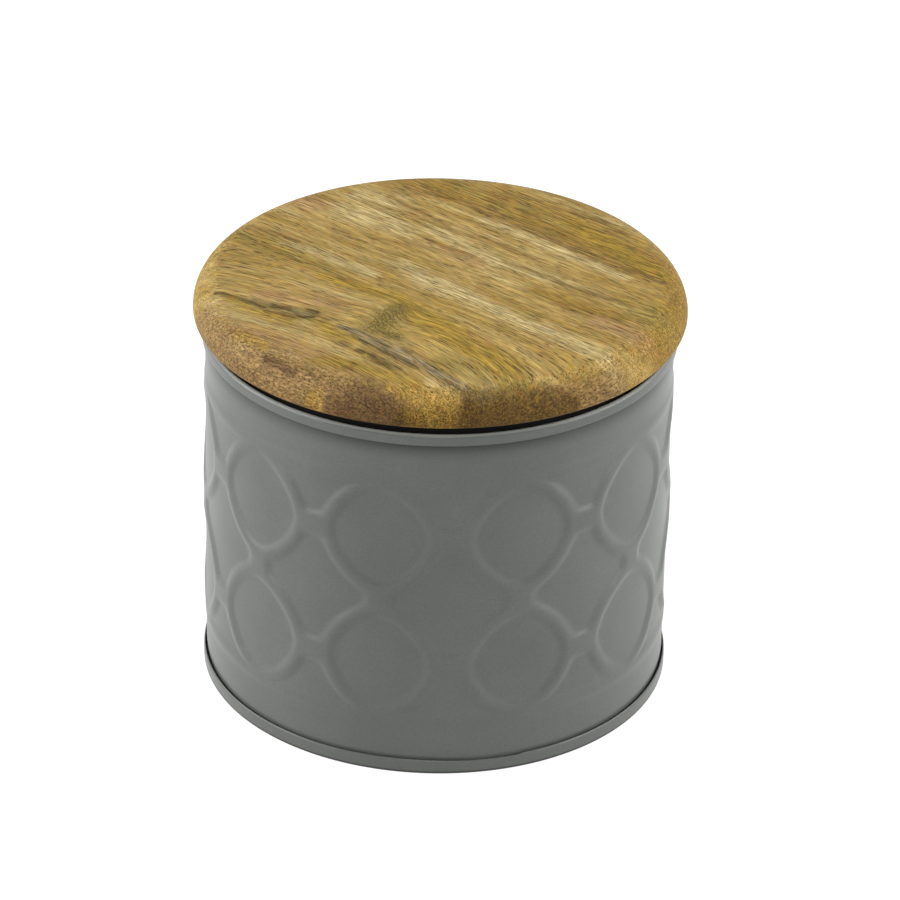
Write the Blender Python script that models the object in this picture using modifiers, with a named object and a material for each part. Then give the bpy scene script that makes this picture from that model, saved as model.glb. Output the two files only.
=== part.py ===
"""Storage canister: a round tin of embossed grey sheet metal under a push-fit lid of mango wood.

The wall is a flat blank pressed with a trellis of round and pinched cells, rolled, lapped at the
back and hemmed outward at the mouth. The base pan is crimped round the wall's lower edge. The lid
is a turned wooden board with a smaller plug glued under it, and a rubber seal sits in the plug's
groove. Metres, +Z up, origin on the floor under the middle, front towards -Y.
"""
import math

import bmesh
import bpy
from mathutils import Matrix, Vector
from mathutils.geometry import delaunay_2d_cdt

MM = 0.001
GAP = 0.3 * MM                  # air left between pieces that touch on the real canister
STEPS = 60                      # facets round every turned piece

# Sheet-metal wall
WALL_R = 60.0 * MM              # outer radius of the plain wall
SHEET = 0.4 * MM
BODY_H = 99.8 * MM              # floor to the crest of the hemmed mouth
HEM_DROP = 4.1 * MM             # height of the hem, crest to its cut edge
HEM_OPEN = 0.5 * MM             # space between the hem's two plies
HEM_ARC_STEPS = 3
LAP_W = 6.0 * MM                # overlap of the rolled blank at the back
SEAM_TURN = math.radians(3.7)   # how far past the back the overlap sits

# Base pan
BASE_SHEET = 0.4 * MM
BAND_H = 4.4 * MM               # crimped band that grips the wall's lower edge
PANEL_RISE = 3.2 * MM           # underside of the floor panel above the table
BASE_BEND = 0.55 * MM           # outer radius of the pan's bends
BEND_STEPS = 2

# Pressed trellis, measured along the wall and up it
CELL_PITCH = 36.1 * MM
ROW_PITCH = 36.6 * MM
RING_R = 14.7 * MM              # middle of the ridge round each round cell
RIDGE_W = 2.9 * MM              # ridge width at half its height
FLANK_W = 1.6 * MM              # width of each sloping side of a ridge
RELIEF = 0.5 * MM               # how far the ridges stand out
BRIDGE_H = 6.0 * MM             # height of the web between side-by-side rings
NECK_W = 6.5 * MM               # width of the web between stacked rings
RAIL_W = 3.9 * MM               # width of the ridge that closes the trellis above and below
RAIL_OFF = 0.6 * MM             # middle of that ridge beyond the crown of the nearest rings
WEB_FILLET = 0.5 * MM
SEAM_STRIP = 7.0 * MM           # least plain sheet left at the back for the overlap

# Lid
LID_STAND = 1.4 * MM            # air between the hem and the board, which the seal holds up
LID_OVERHANG = 2.2 * MM         # board past the hem
BOARD_T = 9.5 * MM
BOARD_TOP_ROUND = 7.4 * MM
BOARD_LOW_ROUND = 2.0 * MM
ROUND_STEPS = 7
PLUG_T = 9.0 * MM
PLUG_PLAY = 2.0 * MM            # plug to the inside of the wall, bridged by the seal
PLUG_ROUND = 2.0 * MM
GROOVE_DROP = 2.9 * MM          # top of the plug to the top of the groove
GROOVE_H = 3.0 * MM
GROOVE_DEPTH = 2.5 * MM
SEAL_LAND = 0.2 * MM            # seal body inside the plug's rim
FIN_T = 0.5 * MM

# Places that follow from the sizes
WALL_IN_R = WALL_R - SHEET
WALL_FOOT_Z = BASE_SHEET + GAP
HEM_FOOT_Z = BODY_H - HEM_DROP
HEM_BEND_Z = BODY_H - SHEET - HEM_OPEN / 2
HEM_OUT_R = WALL_R + HEM_OPEN + SHEET
BAND_R = WALL_R + GAP + BASE_SHEET
CHUCK_R = WALL_IN_R - GAP - BASE_SHEET
BOARD_Z = BODY_H + LID_STAND
BOARD_R = HEM_OUT_R + LID_OVERHANG
PLUG_TOP_Z = BOARD_Z - GAP
PLUG_R = WALL_IN_R - PLUG_PLAY
GROOVE_TOP_Z = PLUG_TOP_Z - GROOVE_DROP
GROOVE_R = PLUG_R - GROOVE_DEPTH

HALF_TURN = math.pi * WALL_R    # half the length of the blank
COLUMNS = int((2 * HALF_TURN - SEAM_STRIP) / CELL_PITCH)
ROWS = int((HEM_FOOT_Z - BAND_H) / ROW_PITCH)
TRELLIS_Z = BODY_H / 2
RAIL_REACH = RING_R + RAIL_OFF  # from the middle of the nearest rings
RAIL_RISE = (ROWS - 1) / 2 * ROW_PITCH + RAIL_REACH
BLANK_TOP_Z = HEM_FOOT_Z - GAP


def new_material(name, srgb_hex, roughness, metallic):
    """Principled material from an sRGB colour."""
    material = bpy.data.materials.new(name)
    material.use_nodes = True
    shader = material.node_tree.nodes["Principled BSDF"]
    channels = [int(srgb_hex[i:i + 2], 16) / 255 for i in (0, 2, 4)]
    linear = [c / 12.92 if c <= 0.04045 else ((c + 0.055) / 1.055) ** 2.4 for c in channels]
    shader.inputs["Base Color"].default_value = (*linear, 1)
    shader.inputs["Roughness"].default_value = roughness
    shader.inputs["Metallic"].default_value = metallic
    material.diffuse_color = (*linear, 1)
    return material


def new_object(name, mesh, material, collection):
    """Link a smooth-shaded object with sharp edges kept."""
    part = bpy.data.objects.new(name, mesh)
    mesh.materials.append(material)
    mesh.shade_smooth()
    mesh.set_sharp_from_angle(angle=math.radians(40))
    collection.objects.link(part)
    return part


def arc(centre, radius, start, stop, steps):
    """Points of an arc, angles in degrees from outward towards up."""
    points = []
    for i in range(steps + 1):
        angle = math.radians(start + (stop - start) * i / steps)
        points.append((centre[0] + radius * math.cos(angle), centre[1] + radius * math.sin(angle)))
    return points


def turned(name, profile, material, collection, closed=False):
    """Turn a profile of (radius, height) points round +Z."""
    mesh = bpy.data.meshes.new(name)
    edges = [(i, i + 1) for i in range(len(profile) - 1)]
    if closed:
        edges.append((len(profile) - 1, 0))
    mesh.from_pydata([(radius, 0, height) for radius, height in profile], edges, [])
    part = new_object(name, mesh, material, collection)
    screw = part.modifiers.new("Turn", "SCREW")
    screw.steps = screw.render_steps = STEPS
    screw.use_merge_vertices = True
    screw.merge_threshold = 1e-6
    screw.use_smooth_shade = True
    return part


def ring_columns():
    """Places of the ring columns along the blank, 0 in the middle."""
    return [(i - (COLUMNS - 1) / 2) * CELL_PITCH for i in range(COLUMNS)]


def ring_rows():
    """Heights of the ring rows."""
    return [TRELLIS_Z + (i - (ROWS - 1) / 2) * ROW_PITCH for i in range(ROWS)]


def midway(places):
    """Places half-way between neighbours."""
    return [(a + b) / 2 for a, b in zip(places, places[1:])]


def nearest(places, value):
    return min(places, key=lambda place: abs(place - value))


def blend(distances):
    """Union of shapes given by distance, with a small fillet where they meet."""
    return -WEB_FILLET * math.log(sum(math.exp(-d / WEB_FILLET) for d in distances))


def off_ridge(s, z):
    """Distance from the trellis at half its height: positive on plain sheet, negative on a ridge."""
    ring_s = nearest(ring_columns(), s)
    ring_z = nearest(ring_rows(), z)
    web_s = nearest(midway(ring_columns()), s)
    web_z = nearest(midway(ring_rows()), z)
    ring = abs(math.hypot(s - ring_s, z - ring_z) - RING_R) - RIDGE_W / 2
    bridge = max(abs(s - web_s) - CELL_PITCH / 2 + RING_R, abs(z - ring_z) - BRIDGE_H / 2)
    neck = max(abs(s - ring_s) - NECK_W / 2, abs(z - web_z) - ROW_PITCH / 2 + RING_R)
    rail = abs(abs(z - TRELLIS_Z) - RAIL_RISE) - RAIL_W / 2
    return blend((ring, bridge, neck, rail))


def edge_point(s, z, angle, level, start=0.0):
    """First point on a ray, beyond start, where the distance from the trellis passes a level."""
    step = 0.5 * MM
    reach = start
    began_above = off_ridge(s + reach * math.cos(angle), z + reach * math.sin(angle)) > level
    while step > 0.01 * MM:
        there = off_ridge(s + (reach + step) * math.cos(angle), z + (reach + step) * math.sin(angle))
        if (there > level) == began_above:
            reach += step
        else:
            step /= 2
    return s + reach * math.cos(angle), z + reach * math.sin(angle)


class Blank:
    """Points and fold lines of the flat blank, each point with its height off the sheet."""

    def __init__(self):
        self.points = []
        self.heights = []
        self.lines = []

    def add(self, points, height, closed=False, lined=True):
        first = len(self.points)
        self.points += [Vector(point) for point in points]
        self.heights += [height] * len(points)
        count = len(points)
        if lined:
            self.lines += [(first + i, first + i + 1) for i in range(count - 1)]
        if closed:
            self.lines.append((first + count - 1, first))


def add_cell(blank, s, z, count):
    """A cell of plain sheet: the foot and the crest of the ridge round it."""
    for level, height in ((FLANK_W / 2, 0.0), (-FLANK_W / 2, RELIEF)):
        loop = [edge_point(s, z, math.tau * i / count, level) for i in range(count)]
        blank.add(loop, height, closed=True)
    foot = FLANK_W / 2
    inner = []
    for i in range(count // 2):
        far = edge_point(s, z, math.tau * (2 * i + 0.5) / count, foot)
        inner.append(((s + far[0]) / 2, (z + far[1]) / 2))
    blank.add(inner + [(s, z)], 0.0, lined=False)


def add_seam_side(blank, side):
    """Edge of the plain strip beside the overlap: round the end rings, in along both rails."""
    ring_s = max(ring_columns()) * side
    neck_turn = math.atan2(ROW_PITCH, NECK_W)
    rays = 5
    for level, height in ((FLANK_W / 2, 0.0), (-FLANK_W / 2, RELIEF)):
        reach = RING_R + RIDGE_W / 2 + level
        rail_turn = math.asin((RAIL_REACH - RAIL_W / 2 - level) / reach)
        corner_s = ring_s + side * reach * math.cos(rail_turn)
        line = []
        rows = ring_rows()
        for row in reversed(rows):
            top = rail_turn if row == rows[-1] else neck_turn
            low = -rail_turn if row == rows[0] else -neck_turn
            for i in range(rays):
                turn = top + (low - top) * (i + 0.5) / rays
                turn = turn if side > 0 else math.pi - turn
                line.append(edge_point(ring_s, row, turn, level, start=RING_R))
        rail = RAIL_RISE - RAIL_W / 2 - level
        upper, lower = TRELLIS_Z + rail, TRELLIS_Z - rail
        bend = corner_s + side * WEB_FILLET
        line = [(side * HALF_TURN, upper), (bend, upper)] + line
        line += [(bend, lower), (side * HALF_TURN, lower)]
        blank.add(line, height)


def rail_edges():
    """Heights of the rails' outer crest and foot, with their height off the sheet."""
    edges = []
    for level, height in ((-FLANK_W / 2, RELIEF), (FLANK_W / 2, 0.0)):
        rise = RAIL_RISE + RAIL_W / 2 + level
        edges += [(TRELLIS_Z - rise, height), (TRELLIS_Z + rise, height)]
    return edges


def flat_blank():
    """The pressed blank, laid flat: along the wall, up the wall, height off the sheet."""
    blank = Blank()
    columns = ring_columns()
    rows = ring_rows()
    for s in columns:
        for z in rows:
            add_cell(blank, s, z, 14)
    pinched_rows = midway(rows)
    end_z = (RAIL_RISE + BRIDGE_H / 2 + (rows[-1] - TRELLIS_Z)) / 2
    for s in midway(columns):
        for z in pinched_rows:
            add_cell(blank, s, z, 20)
        for z in (TRELLIS_Z - end_z, TRELLIS_Z + end_z):
            add_cell(blank, s, z, 14)
    for side in (-1, 1):
        add_seam_side(blank, side)
    around = [-HALF_TURN + 2 * HALF_TURN * i / STEPS for i in range(STEPS + 1)]
    for z, height in rail_edges() + [(WALL_FOOT_Z, 0.0), (BLANK_TOP_Z, 0.0)]:
        blank.add([(s, z) for s in around], height)
    side_steps = 9
    side_z = [TRELLIS_Z + (i / side_steps * 2 - 1) * (RAIL_RISE - RAIL_W) for i in range(side_steps + 1)]
    for side in (-1, 1):
        blank.add([(side * HALF_TURN, z) for z in side_z], 0.0, lined=False)
    return blank


def roll(s, z, out):
    """Place a point of the blank on the rolled wall."""
    angle = SEAM_TURN + s / WALL_R
    radius = WALL_R + out
    return radius * math.sin(angle), -radius * math.cos(angle), z


def hem_profile():
    """Outer face of the sheet from the wall over the hem's fold to its cut edge."""
    fold = arc((WALL_R + HEM_OPEN / 2, HEM_BEND_Z), HEM_OPEN / 2, 180, 0, 2 * HEM_ARC_STEPS)
    return fold + [(WALL_R + HEM_OPEN, HEM_FOOT_Z)]


def build_wall(material, collection, tools):
    """Rolled and pressed wall with its hem and the overlap at the back."""
    blank = flat_blank()
    flat, _, triangles, origins, _, _ = delaunay_2d_cdt(blank.points, blank.lines, [], 0, 1e-7)
    shell = bmesh.new()
    for point, origin in zip(flat, origins):
        shell.verts.new(roll(point.x, point.y, blank.heights[origin[0]]))
    shell.verts.ensure_lookup_table()
    for triangle in triangles:
        shell.faces.new([shell.verts[i] for i in triangle])
    bmesh.ops.remove_doubles(shell, verts=shell.verts, dist=0.001 * MM)

    rim = [e for e in shell.edges if e.is_boundary and min(v.co.z for v in e.verts) > TRELLIS_Z]
    for radius, height in hem_profile():
        grown = bmesh.ops.extrude_edge_only(shell, edges=rim)["geom"]
        rim = [item for item in grown if isinstance(item, bmesh.types.BMEdge)]
        for vert in (item for item in grown if isinstance(item, bmesh.types.BMVert)):
            outward = Vector((vert.co.x, vert.co.y, 0)).normalized() * radius
            vert.co = (outward.x, outward.y, height)
    mesh = bpy.data.meshes.new("body_shell")
    shell.to_mesh(mesh)
    shell.free()
    wall = new_object("body_shell", mesh, material, collection)
    solid = wall.modifiers.new("Sheet", "SOLIDIFY")
    solid.thickness = SHEET
    solid.offset = -1
    solid.use_even_offset = True

    lap_low, lap_top = BAND_H + GAP, HEM_FOOT_Z - GAP
    lap_in, lap_out = WALL_R - SHEET / 2, WALL_R + SHEET
    bpy.ops.mesh.primitive_cube_add(size=1)
    lap = bpy.context.object
    lap.name = "lap_tool"
    lap.data.transform(Matrix.Diagonal((LAP_W, lap_out - lap_in, lap_top - lap_low, 1)))
    middle = roll(HALF_TURN, (lap_low + lap_top) / 2, (lap_in + lap_out) / 2 - WALL_R)
    lap.location = middle
    lap.rotation_euler.z = SEAM_TURN
    lap.display_type = "WIRE"
    lap.hide_render = True
    for holder in list(lap.users_collection):
        holder.objects.unlink(lap)
    tools.objects.link(lap)
    join = wall.modifiers.new("Overlap", "BOOLEAN")
    join.operation = "UNION"
    join.object = lap
    return wall


def build_base(material, collection):
    """Base pan: raised floor panel, channel round the wall's edge, crimped band outside."""
    bend = BASE_BEND
    profile = [(BAND_R, BAND_H)]
    profile += arc((BAND_R - bend, bend), bend, 0, -90, BEND_STEPS)
    profile += arc((CHUCK_R + bend, bend), bend, -90, -180, BEND_STEPS)
    profile += [(CHUCK_R, PANEL_RISE - bend), (CHUCK_R - bend, PANEL_RISE), (0, PANEL_RISE)]
    pan = turned("base_pan", profile, material, collection)
    solid = pan.modifiers.new("Sheet", "SOLIDIFY")
    solid.thickness = BASE_SHEET
    solid.offset = -1
    solid.use_even_offset = True
    return pan


def build_board(material, collection):
    """Turned lid board with a full round above and a small one below."""
    top = BOARD_Z + BOARD_T
    profile = [(0, top)]
    profile += arc((BOARD_R - BOARD_TOP_ROUND, top - BOARD_TOP_ROUND), BOARD_TOP_ROUND, 90, 0, ROUND_STEPS)
    profile += arc((BOARD_R - BOARD_LOW_ROUND, BOARD_Z + BOARD_LOW_ROUND), BOARD_LOW_ROUND, 0, -90, BEND_STEPS)
    profile += [(0, BOARD_Z)]
    return turned("lid_board", profile, material, collection)


def build_plug(material, collection):
    """Plug under the board, grooved for the seal."""
    low = PLUG_TOP_Z - PLUG_T
    groove_low = GROOVE_TOP_Z - GROOVE_H
    profile = [(0, PLUG_TOP_Z), (PLUG_R, PLUG_TOP_Z), (PLUG_R, GROOVE_TOP_Z), (GROOVE_R, GROOVE_TOP_Z)]
    profile += [(GROOVE_R, groove_low), (PLUG_R, groove_low)]
    profile += arc((PLUG_R - PLUG_ROUND, low + PLUG_ROUND), PLUG_ROUND, 0, -90, BEND_STEPS)
    profile += [(0, low)]
    return turned("lid_plug", profile, material, collection)


def build_seal(material, collection):
    """Rubber ring with two fins that reach the wall."""
    back = GROOVE_R + GAP
    face = PLUG_R - SEAL_LAND
    tip = WALL_IN_R - GAP
    top = GROOVE_TOP_Z - GAP
    low = GROOVE_TOP_Z - GROOVE_H + GAP
    root = (top - low) / 2 - FIN_T
    profile = [(back, top), (face, top)]
    profile += [(tip, top - FIN_T / 4), (tip, top - FIN_T), (face, top - root)]
    profile += [(face, low + root), (tip, low + root / 2 + FIN_T / 2), (tip, low + FIN_T / 4)]
    profile += [(face, low), (back, low)]
    return turned("seal_ring", profile, material, collection, closed=True)


def main():
    for old in list(bpy.data.objects):
        bpy.data.objects.remove(old, do_unlink=True)
    canister = bpy.data.collections.new("storage_canister")
    tools = bpy.data.collections.new("tools")
    bpy.context.scene.collection.children.link(canister)
    bpy.context.scene.collection.children.link(tools)

    build_wall(new_material("grey_sheet_metal", "8A8C88", 0.42, 0.85), canister, tools)
    build_base(new_material("grey_base_metal", "868883", 0.45, 0.85), canister)
    build_board(new_material("mango_wood", "A98F5A", 0.45, 0.0), canister)
    build_plug(new_material("mango_wood_plug", "B39B6B", 0.55, 0.0), canister)
    build_seal(new_material("black_rubber", "1C1B1A", 0.7, 0.0), canister)


main()
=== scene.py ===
# %% [markdown]
# A storage canister: a round tin pressed from grey painted sheet steel, under a turned lid of mango
# wood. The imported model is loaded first. It is the fixed frame: every piece below is built over it
# in the same place, in metres, with +Z up and the canister standing on the floor at the origin.

# %% Load the frame
import math

import bmesh
import bpy
import numpy as np
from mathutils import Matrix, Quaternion, Vector, noise


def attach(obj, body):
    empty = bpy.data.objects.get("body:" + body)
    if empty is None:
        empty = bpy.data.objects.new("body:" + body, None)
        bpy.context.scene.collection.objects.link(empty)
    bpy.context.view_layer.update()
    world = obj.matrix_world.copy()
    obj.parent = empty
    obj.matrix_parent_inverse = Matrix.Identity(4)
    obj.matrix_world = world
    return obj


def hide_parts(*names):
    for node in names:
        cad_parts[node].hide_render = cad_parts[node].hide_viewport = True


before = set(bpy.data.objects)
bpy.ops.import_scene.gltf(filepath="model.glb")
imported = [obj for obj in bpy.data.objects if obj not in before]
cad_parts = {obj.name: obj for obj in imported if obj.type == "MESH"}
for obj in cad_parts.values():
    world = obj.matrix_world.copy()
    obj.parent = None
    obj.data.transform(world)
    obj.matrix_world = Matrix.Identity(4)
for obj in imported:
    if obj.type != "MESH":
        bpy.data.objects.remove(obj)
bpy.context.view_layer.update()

MM = 0.001
scene = bpy.context.scene

# %% [markdown]
# The photograph was taken with a long lens from about 1.4 m away, looking 30 degrees down at the
# front. The look-at point is half-way up the tin, a little left of and below the picture's middle,
# so the lens is shifted by that much. The camera was held a degree off level, hence the small roll.

# %% Camera
TILT = 0.5186                    # angle below level, radians
DISTANCE = 1.3659
ROLL = 0.0191
LENS = 209.94                    # on a 36 mm sensor
SHIFT = (0.01458, 0.04719)       # to the right and up, as a share of the picture's width
AIM_HEIGHT = 0.048
aim = Vector((0, 0, AIM_HEIGHT))
towards = Vector((0, math.cos(TILT), -math.sin(TILT)))

camera = bpy.data.objects.new("camera", bpy.data.cameras.new("camera"))
scene.collection.objects.link(camera)
scene.camera = camera
camera.data.lens = LENS
camera.data.shift_x, camera.data.shift_y = SHIFT
camera.location = aim - towards * DISTANCE
camera.rotation_mode = "QUATERNION"
camera.rotation_quaternion = towards.to_track_quat("-Z", "Y") @ Quaternion((0, 0, 1), ROLL)
print("camera at", [round(v, 3) for v in camera.location])

# %% [markdown]
# Colours are written as sRGB hex, as a paint card or a colour picker gives them, and Blender mixes
# light in linear values, so one function turns one into the other. A second small function adds a
# node. It sets the node's properties and fills its sockets: each gets a number or a colour, or a
# link from another node, from its first output unless one is named. A Map Range node's sockets are
# numbered: 0 is the value, 1 and 2 what it runs between, 3 and 4 what they become.

# %% Colour and node helpers
FACTOR, FROM, TO = 0, 6, 7       # sockets of a Mix node that mixes colours
LOW, HIGH = 2, 3                 # and of one that mixes numbers


def linear(srgb):
    channels = [int(srgb[i:i + 2], 16) / 255 for i in (0, 2, 4)]
    return (*[c / 12.92 if c <= 0.04045 else ((c + 0.055) / 1.055) ** 2.4 for c in channels], 1)


def fill(tree, node, sockets):
    for socket, value in sockets.items():
        if isinstance(value, bpy.types.Node):
            value = next(output for output in value.outputs if output.enabled)
        if isinstance(value, bpy.types.NodeSocket):
            tree.links.new(value, node.inputs[socket])
        else:
            node.inputs[socket].default_value = value
    return node


def add(tree, kind, sockets=None, ramp=None, **settings):
    node = tree.nodes.new("ShaderNode" + kind)
    for name, value in settings.items():
        setattr(node, name, value)
    if ramp:
        stops = node.color_ramp.elements
        while len(stops) < len(ramp):
            stops.new(0.5)
        for stop, (place, colour) in zip(stops, ramp):
            stop.position, stop.color = place, colour
    return fill(tree, node, sockets or {})


def new_material(name):
    material = bpy.data.materials.new(name)
    material.use_nodes = True
    return material, material.node_tree, material.node_tree.nodes["Principled BSDF"]


print("mid grey 808080 is", round(linear("808080")[0], 3), "in linear light")

# %% [markdown]
# The stage is a white table that runs to the horizon, as in a light tent. The floor is plain matt
# white. For the camera and for reflections it glows a little, so that it reads as white where the
# light falls off, and the canister's shadow still shows on it.

# %% Floor
FLOOR_R, FLOOR_GLOW = 6.0, 0.7
floor_shape = bmesh.new()
bmesh.ops.create_circle(floor_shape, cap_ends=True, segments=64, radius=FLOOR_R)
floor_mesh = bpy.data.meshes.new("floor")
floor_shape.to_mesh(floor_mesh)
floor_shape.free()
floor = bpy.data.objects.new("floor", floor_mesh)
scene.collection.objects.link(floor)

white, tree, shader = new_material("matt_white_table")
ray = add(tree, "LightPath").outputs
seen = add(tree, "Math", {0: ray["Is Camera Ray"], 1: ray["Is Glossy Ray"]}, operation="MAXIMUM")
seen = add(tree, "Math", {0: seen, 1: ray["Is Transmission Ray"]}, operation="MAXIMUM")
glow = add(tree, "Math", {0: seen, 1: FLOOR_GLOW}, operation="MULTIPLY")
fill(tree, shader, {"Base Color": linear("C0C0C0"), "Roughness": 0.9,
                    "Emission Color": (1, 1, 1, 1), "Emission Strength": glow})
floor_mesh.materials.append(white)
print("floor", 2 * FLOOR_R, "m across")

# %% [markdown]
# The world is the tent round the table. The camera sees it pure white. As light it is half as
# strong as in reflections, and both get darker towards the front, where the tent is open for the
# camera. So the tin's front stays deep and its ridges show.

# %% World
WORLD_LIGHT, WORLD_REFLECTED = 0.5, 1.0
DARK_FRONT = 0.2                 # what is left of the tent's strength in the opening
OPENING, TENT = -0.95, -0.25     # how far to the back a direction points, there and beside it
world = bpy.data.worlds.new("light_tent")
scene.world = world
world.use_nodes = True
tree = world.node_tree
direction = add(tree, "SeparateXYZ", {0: add(tree, "TexCoord").outputs["Generated"]}).outputs
tent = add(tree, "MapRange", {0: direction["Y"], 1: OPENING, 2: TENT, 3: DARK_FRONT, 4: 1.0})
ray = add(tree, "LightPath").outputs
seen = add(tree, "Math", {0: ray["Is Glossy Ray"], 1: ray["Is Transmission Ray"]}, operation="MAXIMUM")
strength = add(tree, "MapRange", {0: seen, 3: WORLD_LIGHT, 4: WORLD_REFLECTED})
strength = add(tree, "Math", {0: strength, 1: tent}, operation="MULTIPLY")
strength = add(tree, "Math", {0: strength, 1: ray["Is Camera Ray"]}, operation="MAXIMUM")
fill(tree, tree.nodes["Background"], {"Color": (1, 1, 1, 1), "Strength": strength})
scene.view_settings.view_transform = "Standard"
print("world:", world.name, "with", len(tree.nodes), "nodes")

# %% [markdown]
# The tin is darkest in the middle and brightens evenly to both sides, so most light comes from two
# wide soft boxes, low on the left and on the right. A weaker one overhead lights the lid. A small
# one stands behind the camera and draws the thin bright line on the hem.

# %% Lights
SOFT_BOXES = [                   # name, place, width and height in metres, watts
    ("left_box", (-0.9, -0.14, 0.27), (0.9, 0.5), 8.2),
    ("right_box", (0.9, -0.14, 0.27), (0.9, 0.5), 7.0),
    ("top_box", (0.0, -0.22, 1.1), (0.7, 0.7), 2.8),
    ("front_box", (0.0, -1.6, 0.8), (0.28, 0.24), 6.0),
]
for name, place, size, power in SOFT_BOXES:
    lamp = bpy.data.lights.new(name, "AREA")
    lamp.shape = "RECTANGLE"
    lamp.size, lamp.size_y = size
    lamp.energy = power
    box = bpy.data.objects.new(name, lamp)
    box.location = place
    box.rotation_euler = (aim - Vector(place)).to_track_quat("-Z", "Y").to_euler()
    scene.collection.objects.link(box)
print("soft boxes:", len(SOFT_BOXES))

# %% [markdown]
# Sheet-metal and turned pieces all start as an outline that goes once round the axis. Spin does
# that; the seam where it closes is merged, and so are the points that sit on the axis. After that
# the faces are turned outwards. Outlines are in millimetres, as radius and height.

# %% Outlines and spinning
MERGE = 0.002


def spun(outline, steps, closed=False):
    shape = bmesh.new()
    points = [shape.verts.new((radius * MM, 0, height * MM)) for radius, height in outline]
    ends = points[1:] + points[:1] if closed else points[1:]
    lines = [shape.edges.new(pair) for pair in zip(points, ends)]
    bmesh.ops.spin(shape, geom=points + lines, cent=(0, 0, 0), axis=(0, 0, 1),
                   angle=math.tau, steps=steps, use_merge=True)
    bmesh.ops.remove_doubles(shape, verts=shape.verts, dist=MERGE * MM)
    bmesh.ops.recalc_face_normals(shape, faces=shape.faces)
    return shape


def arc(centre, radius, start, stop, steps):
    turns = [math.radians(start + (stop - start) * i / steps) for i in range(steps + 1)]
    return [(centre[0] + radius * math.cos(t), centre[1] + radius * math.sin(t)) for t in turns]


def rise(low, high, step):
    """Heights from low to high in equal steps of about the given size, the last one left out."""
    count = max(1, round((high - low) / step))
    return [low + (high - low) * i / count for i in range(count)]


print("rows from 0 to 10:", rise(0, 10, 2.5))

# %% [markdown]
# Each finished shape becomes an object at the origin, shaded smooth but for its sharp edges. It
# stands for a solid of the frame, which it hides, and rides on its body. Sheet is drawn as one
# face, and a Solidify modifier adds the thickness behind it.

# %% Finished pieces
SHARP = 35                       # degrees


def finish_piece(name, shape, material, body, node):
    mesh = bpy.data.meshes.new(name)
    shape.to_mesh(mesh)
    shape.free()
    mesh.shade_smooth()
    mesh.set_sharp_from_angle(angle=math.radians(SHARP))
    mesh.materials.append(material)
    piece = bpy.data.objects.new(name, mesh)
    scene.collection.objects.link(piece)
    if node:
        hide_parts(node)
    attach(piece, body)
    print(name, "rides on", body, "with", len(mesh.polygons), "faces")
    return piece


def thicken(piece, thickness):
    sheet = piece.modifiers.new("Sheet", "SOLIDIFY")
    sheet.thickness = thickness * MM
    sheet.offset = -1
    sheet.use_even_offset = True
    sheet.use_quality_normals = True


# %% [markdown]
# The pattern pressed into the wall is a Moroccan trellis: rings in two rows, slightly pinched
# towards diamonds, joined by short webs to the sides and by necks between the rows. A plain rail
# closes it over and under. It is pressed about half as high, and the rings sink to that height
# where they meet it. Ten columns leave a plain strip at the back for the lap.

# %% Trellis sizes
WALL_R, SHEET = 60.0, 0.4
INNER_R = WALL_R - SHEET
TRELLIS_Z = 49.9                                   # height of the pattern's middle
COLUMNS, CELL_PITCH, ROW_PITCH = 10, 36.1, 36.6
RING_HALF_W, RING_HALF_H = 14.3, 15.5
RING_POWER = 1.6                                   # 2 would be an ellipse and 1 a diamond
RIDGE_W, FLANK_W, RELIEF = 3.1, 2.2, 0.64          # a ridge's width, its slope's, its height
WEB_H, NECK_W, FILLET = 6.2, 6.6, 0.7
RAIL_W, RAIL_RISE = 3.2, 33.9                      # a rail's width, its height over the middle
RAIL_SHARE = 0.45                                  # how high it is pressed, of a ring's relief
SINK_FROM, SINK_OVER = 27, 7                       # where the rings sink to that
SEAM_TURN = math.radians(3.7)

ring_columns = [(i - (COLUMNS - 1) / 2) * CELL_PITCH for i in range(COLUMNS)]
web_columns = [place + CELL_PITCH / 2 for place in ring_columns[:-1]]
ring_rows = [TRELLIS_Z - ROW_PITCH / 2, TRELLIS_Z + ROW_PITCH / 2]
print("pattern", COLUMNS * CELL_PITCH, "mm of", round(math.tau * WALL_R, 1), "mm round")

# %% [markdown]
# Each part of the pattern is a distance on the flat sheet, below zero on the ridge, and a soft
# minimum joins them with the small fillets that a press leaves in sheet. The slope that turns the
# distance into a height is half straight and half smooth.

# %% Trellis heights


def nearest(places, value):
    return min(places, key=lambda place: abs(place - value))


def off_ridge(s, z):
    """Distance from the ridge's edge at half its height, s along the sheet and z up it."""
    ring_s, ring_z, web_s = nearest(ring_columns, s), nearest(ring_rows, z), nearest(web_columns, s)
    across, up = abs(s - ring_s) / RING_HALF_W, abs(z - ring_z) / RING_HALF_H
    ring = (across ** RING_POWER + up ** RING_POWER) ** (1 / RING_POWER)
    ring = abs(ring - 1) * RING_HALF_W - RIDGE_W / 2
    web = max(abs(s - web_s) - CELL_PITCH / 2 + RING_HALF_W, abs(z - ring_z) - WEB_H / 2)
    neck = max(abs(s - ring_s) - NECK_W / 2, abs(z - TRELLIS_Z) - ROW_PITCH / 2 + RING_HALF_H)
    return -FILLET * math.log(sum(math.exp(-away / FILLET) for away in (ring, web, neck)))


def off_rail(z):
    return abs(abs(z - TRELLIS_Z) - RAIL_RISE) - RAIL_W / 2


def along(point):
    """Place of a point along the rolled sheet, 0 at the front and the lap at either end."""
    turn = math.atan2(point.x, -point.y) - SEAM_TURN
    return (turn + math.pi) % math.tau * WALL_R - math.pi * WALL_R


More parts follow.
